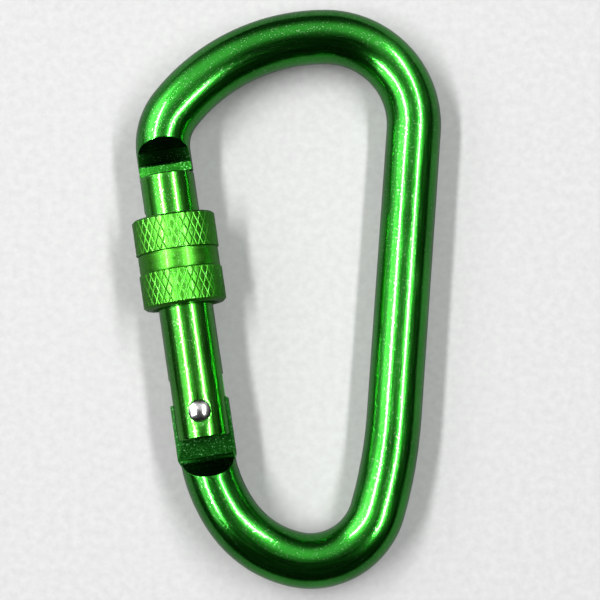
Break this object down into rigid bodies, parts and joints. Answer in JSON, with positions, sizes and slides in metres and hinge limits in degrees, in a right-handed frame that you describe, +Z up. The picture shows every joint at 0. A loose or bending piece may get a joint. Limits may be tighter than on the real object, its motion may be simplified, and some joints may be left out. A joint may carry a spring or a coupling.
{
  "type": "locking carabiner",
  "caption": "Pear-shaped screw-lock carabiner bent from green anodised round rod, with a sprung pivoting gate and a knurled threaded locking sleeve.",
  "frame": {"origin": "centre of the carabiner's outer box, on the rod's mid-plane", "axes": "+Z up out of the plane of the ring, +Y toward the wide end with the nose, +X from the gate side toward the spine"},
  "size_m": [0.0426, 0.0796, 0.0114],
  "materials": {
    "anodised_rod": "polished green anodising",
    "anodised_gate": "polished green anodising",
    "anodised_sleeve": "satin green anodising, knurled",
    "rivet_steel": "bright peened steel",
    "spring_wire": "drawn spring wire",
    "plunger_steel": "turned steel"
  },
  "bodies": {
    "body": {"body_frame": "anodised_rod"},
    "gate": {"gate": "anodised_gate", "hinge_rivet": "rivet_steel", "gate_spring": "spring_wire"},
    "plunger": {"spring_plunger": "plunger_steel"},
    "sleeve_carrier": {"sleeve_thread": "anodised_sleeve"},
    "sleeve": {"locking_sleeve": "anodised_sleeve"}
  },
  "joints": [
    {"name": "gate_swing", "type": "hinge", "parent": "body", "child": "gate", "pos_m": [-0.01173, -0.0159, 0], "axis": [0, 0, -1], "range_deg": [0, 35], "stiffness_Nm_per_rad": 0.15, "springref_deg": -34.38},
    {"name": "plunger_slide", "type": "slide", "parent": "gate", "child": "plunger", "axis": [-0.1478, 0.989, 0], "range_m": [0, 0.0012], "deforming": ["gate_spring"]},
    {"name": "sleeve_travel", "type": "slide", "parent": "gate", "child": "sleeve_carrier", "axis": [-0.1478, 0.989, 0], "range_m": [0, 0.00813]},
    {"name": "sleeve_turn", "type": "hinge", "parent": "sleeve_carrier", "child": "sleeve", "pos_m": [-0.01173, -0.0159, 0], "axis": [-0.1478, 0.989, 0], "range_deg": [0, 2340]}
  ],
  "couplings": [
    {"joint": "plunger_slide", "follows": "gate_swing", "m_per_rad": 0.0019643},
    {"joint": "sleeve_turn", "follows": "sleeve_travel", "rad_per_m": 5026.5}
  ]
}
